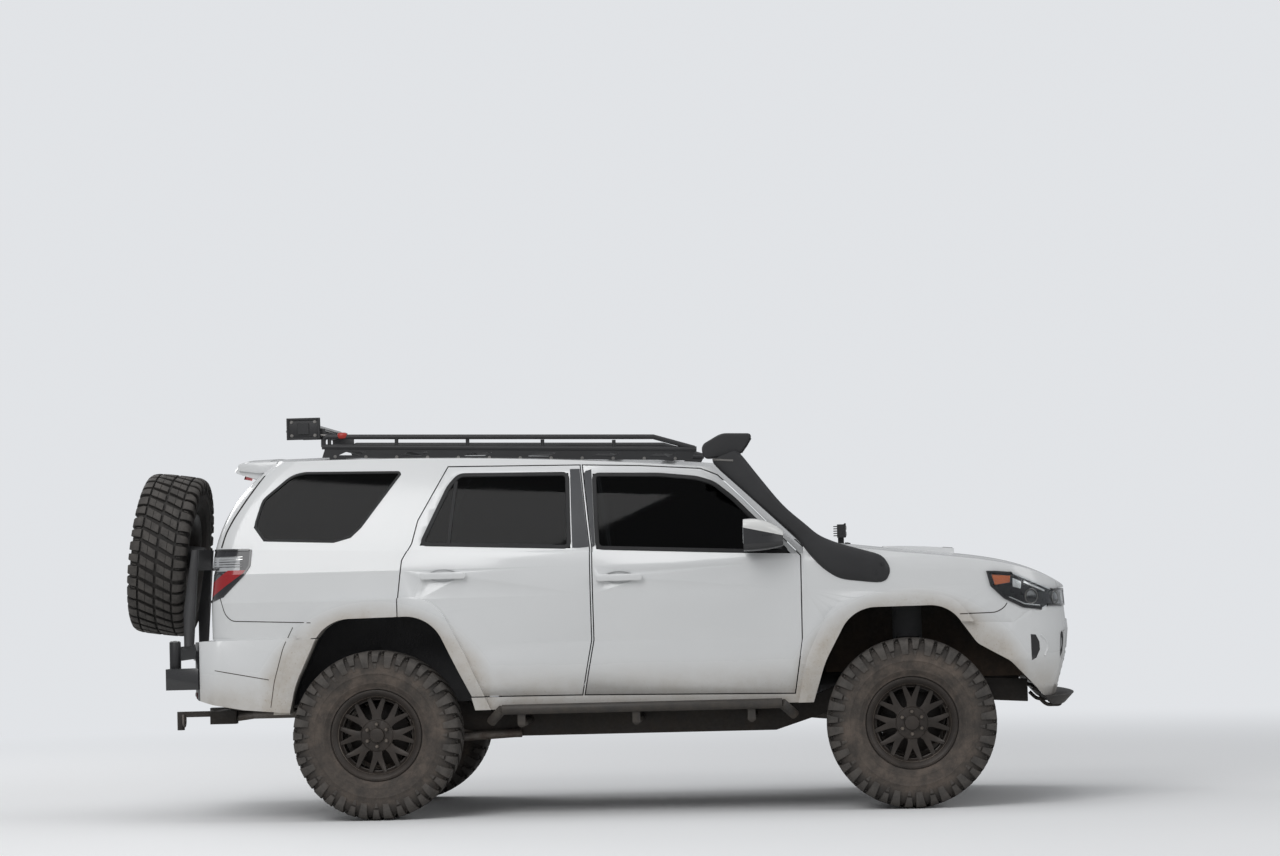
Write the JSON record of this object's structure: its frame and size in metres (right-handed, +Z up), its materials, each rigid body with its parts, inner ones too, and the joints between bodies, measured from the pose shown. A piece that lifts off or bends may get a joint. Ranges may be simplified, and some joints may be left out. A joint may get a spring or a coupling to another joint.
{
  "type": "lifted off-road four-wheel-drive estate car",
  "caption": "Lifted five-door off-road estate on a ladder frame, with opening doors, bonnet and tailgate, steered front wheels, swing-out spare wheel carrier, roof rack and raised air intake.",
  "frame": {"origin": "on the ground under the middle of the whole length and width", "axes": "+X forward along the car, +Y to its left, +Z up"},
  "size_m": [5.129, 2.1936, 2.126],
  "materials": {
    "white_paint": "gloss",
    "black_trim": "matte",
    "black_coat": "satin",
    "frame_black": "matte",
    "bare_steel": "dusty",
    "tyre": "dusty",
    "rim": "satin black",
    "glass": "tinted",
    "headlamp": "clear",
    "tail_lamp": "gloss",
    "seat_fabric": "woven",
    "interior": "grained",
    "floor_pan": "matte",
    "engine": "plain"
  },
  "bodies": {
    "chassis": {"body_side_left": "white_paint", "body_side_right": "white_paint", "roof": "white_paint", "front_wing_left": "white_paint", "front_wing_right": "white_paint", "front_bumper": "white_paint", "rear_bumper": "white_paint", "firewall": "floor_pan", "floor": "floor_pan", "fixed_glass": "glass", "grille": "black_trim", "headlamps": "headlamp", "tail_lamps": "tail_lamp", "roof_rack": "black_coat", "lift_jack": "bare_steel", "snorkel": "black_trim", "rock_sliders": "black_coat", "ladder_frame": "frame_black", "hitch": "frame_black", "powertrain": "engine", "drive_shafts": "bare_steel", "front_suspension": "frame_black", "rear_axle": "bare_steel", "fuel_tank": "black_trim", "exhaust": "bare_steel", "seats": "seat_fabric", "dashboard": "interior", "arch_liners": "black_trim"},
    "steering_rack": {"tie_rods": "bare_steel"},
    "knuckle_left": {"knuckle_left": "bare_steel"},
    "knuckle_right": {"knuckle_right": "bare_steel"},
    "wheel_front_left": {"tyre_front_left": "tyre", "rim_front_left": "rim"},
    "wheel_front_right": {"tyre_front_right": "tyre", "rim_front_right": "rim"},
    "wheel_rear_left": {"tyre_rear_left": "tyre", "rim_rear_left": "rim"},
    "wheel_rear_right": {"tyre_rear_right": "tyre", "rim_rear_right": "rim"},
    "door_front_left": {"door_front_left": "white_paint", "door_glass_front_left": "glass", "mirror_left": "black_trim"},
    "door_front_right": {"door_front_right": "white_paint", "door_glass_front_right": "glass", "mirror_right": "black_trim"},
    "door_rear_left": {"door_rear_left": "white_paint", "door_glass_rear_left": "glass"},
    "door_rear_right": {"door_rear_right": "white_paint", "door_glass_rear_right": "glass"},
    "hood": {"hood": "white_paint"},
    "tailgate": {"tailgate": "white_paint", "tailgate_glass": "glass"},
    "spare_carrier": {"spare_carrier": "black_coat", "spare_tyre": "tyre", "spare_rim": "rim"}
  },
  "joints": [
    {"name": "steer_left", "type": "hinge", "parent": "chassis", "child": "knuckle_left", "pos_m": [1.672, 0.7, 0.442], "axis": [0, 0, 1], "range_deg": [-27, 27]},
    {"name": "steer_right", "type": "hinge", "parent": "chassis", "child": "knuckle_right", "pos_m": [1.672, -0.7, 0.442], "axis": [0, 0, 1], "range_deg": [-27, 27]},
    {"name": "rack_slide", "type": "slide", "parent": "chassis", "child": "steering_rack", "axis": [0, 1, 0], "range_m": [-0.0625, 0.0625]},
    {"name": "spin_front_left", "type": "hinge", "parent": "knuckle_left", "child": "wheel_front_left", "pos_m": [1.672, 0.825, 0.442], "axis": [0, 1, 0], "continuous": true},
    {"name": "spin_front_right", "type": "hinge", "parent": "knuckle_right", "child": "wheel_front_right", "pos_m": [1.672, -0.825, 0.442], "axis": [0, 1, 0], "continuous": true},
    {"name": "spin_rear_left", "type": "hinge", "parent": "chassis", "child": "wheel_rear_left", "pos_m": [-1.118, 0.825, 0.442], "axis": [0, 1, 0], "continuous": true},
    {"name": "spin_rear_right", "type": "hinge", "parent": "chassis", "child": "wheel_rear_right", "pos_m": [-1.118, -0.825, 0.442], "axis": [0, 1, 0], "continuous": true},
    {"name": "door_front_left_hinge", "type": "hinge", "parent": "chassis", "child": "door_front_left", "pos_m": [1.118, 0.938, 1], "axis": [0, 0, -1], "range_deg": [0, 65]},
    {"name": "door_front_right_hinge", "type": "hinge", "parent": "chassis", "child": "door_front_right", "pos_m": [1.118, -0.938, 1], "axis": [0, 0, 1], "range_deg": [0, 65]},
    {"name": "door_rear_left_hinge", "type": "hinge", "parent": "chassis", "child": "door_rear_left", "pos_m": [0.022, 0.938, 1], "axis": [0, 0, -1], "range_deg": [0, 65]},
    {"name": "door_rear_right_hinge", "type": "hinge", "parent": "chassis", "child": "door_rear_right", "pos_m": [0.022, -0.938, 1], "axis": [0, 0, 1], "range_deg": [0, 65]},
    {"name": "hood_hinge", "type": "hinge", "parent": "chassis", "child": "hood", "pos_m": [1.23, 0, 1.392], "axis": [0, -1, 0], "range_deg": [0, 50]},
    {"name": "carrier_swing", "type": "hinge", "parent": "chassis", "child": "spare_carrier", "pos_m": [-2.193, -0.8, 0.9], "axis": [0, 0, 1], "range_deg": [0, 150]},
    {"name": "tailgate_hinge", "type": "hinge", "parent": "chassis", "child": "tailgate", "pos_m": [-1.663, 0, 1.928], "axis": [0, 1, 0], "range_deg": [0, 75]}
  ],
  "couplings": [
    {"joint": "steer_right", "follows": "steer_left", "ratio": 1},
    {"joint": "rack_slide", "follows": "steer_left", "m_per_rad": 0.13},
    {"joint": "tailgate_hinge", "follows": "carrier_swing", "ratio": 0.5}
  ]
}
